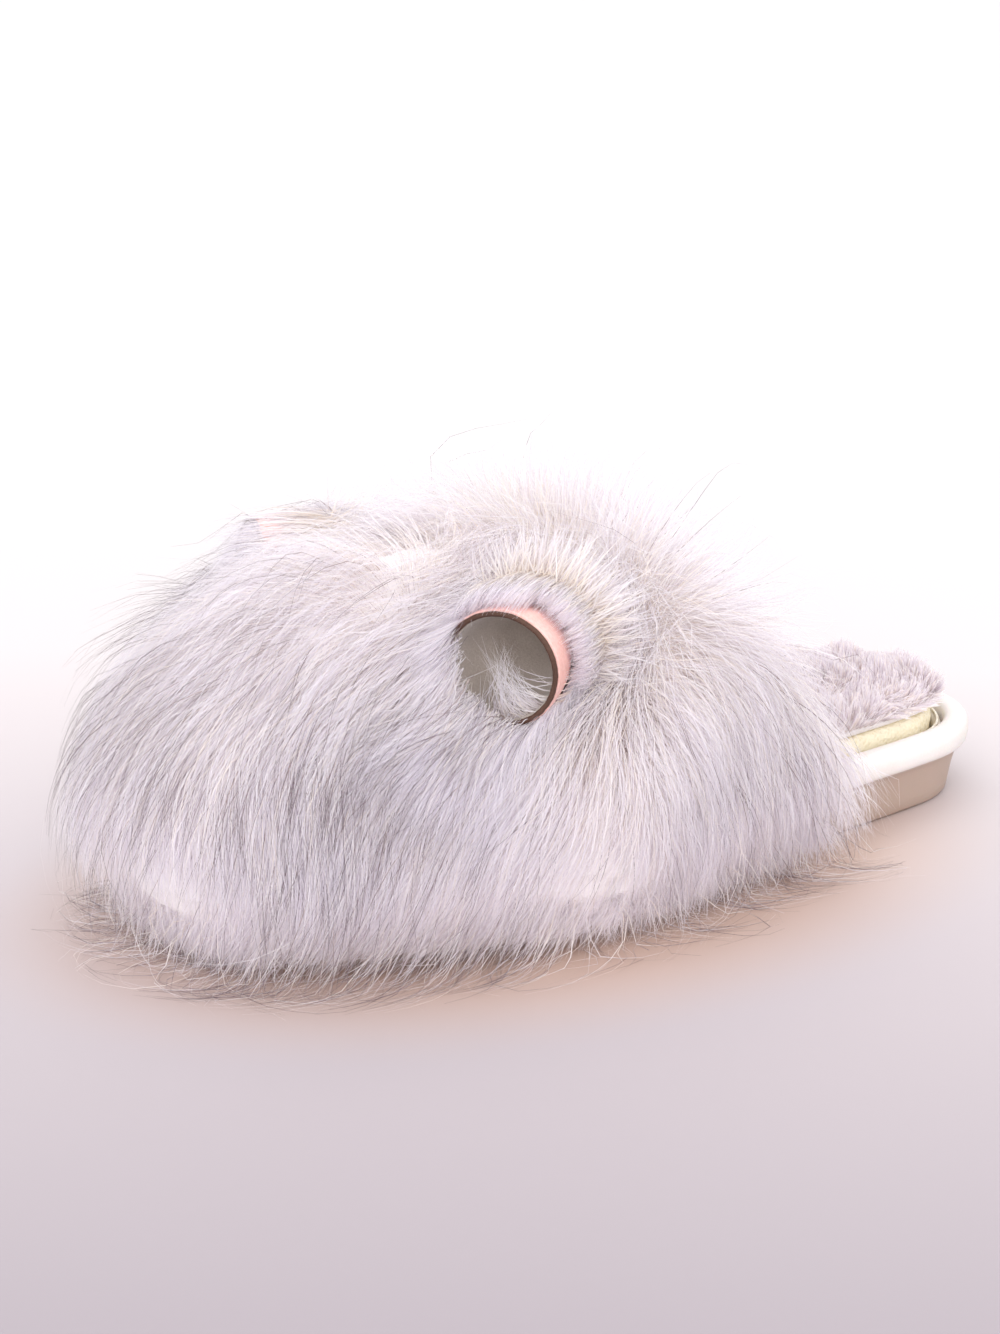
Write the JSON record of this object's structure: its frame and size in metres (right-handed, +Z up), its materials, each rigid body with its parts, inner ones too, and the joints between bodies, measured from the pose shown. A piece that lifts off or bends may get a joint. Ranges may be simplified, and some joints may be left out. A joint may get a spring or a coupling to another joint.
{
  "type": "fluffy house slipper",
  "caption": "Open-back house slipper with a long-pile faux fur upper, two rolled ears that flop, plush insole and lipped foam sole.",
  "frame": {"origin": "on the ground face of the outsole, midway between its toe end and heel end, on the line the outline is drawn about", "axes": "+X to the outer side of the left foot, +Y to the heel, +Z up"},
  "size_m": [0.1435, 0.288, 0.1044],
  "materials": {
    "eva": "moulded foam, satin, cream white",
    "board": "pressed cellulose fibreboard, raw",
    "foam": "open-cell foam, matt",
    "plush": "short clumped plush pile",
    "piping": "cream coated tape, satin",
    "thread": "twisted sewing thread",
    "lining": "brushed fleece",
    "faux_fur": "long white pile with dark tipped guard hairs",
    "ear_leatherette": "pale pink leatherette, fine grain, satin",
    "ear_felt": "greige felt",
    "ear_edge": "dark brown sealed cut edge"
  },
  "bodies": {
    "slipper": {"outsole": "eva", "insole_board": "board", "insole_foam": "foam", "insole_plush": "plush", "edge_binding": "piping", "rim_stitches": "thread", "vamp_lining": "lining", "vamp_foam": "foam", "collar_binding": "lining", "fur_toe_panel": "faux_fur", "fur_instep_panel": "faux_fur", "panel_seam_thread": "thread"},
    "ear_left": {"ear_left_shell": "ear_leatherette", "ear_left_lining": "ear_felt", "ear_left_edge": "ear_edge"},
    "ear_right": {"ear_right_shell": "ear_leatherette", "ear_right_lining": "ear_felt", "ear_right_edge": "ear_edge"}
  },
  "joints": [
    {"name": "ear_left_flop", "type": "hinge", "parent": "slipper", "child": "ear_left", "pos_m": [0.03471, -0.052, 0.07656], "axis": [-0.833, 0, 0.5533], "range_deg": [0, 35], "stiffness_Nm_per_rad": 0.004, "springref_deg": -2.86},
    {"name": "ear_right_flop", "type": "hinge", "parent": "slipper", "child": "ear_right", "pos_m": [-0.03471, -0.052, 0.07656], "axis": [-0.833, 0, -0.5533], "range_deg": [0, 35], "stiffness_Nm_per_rad": 0.004, "springref_deg": -2.86}
  ]
}
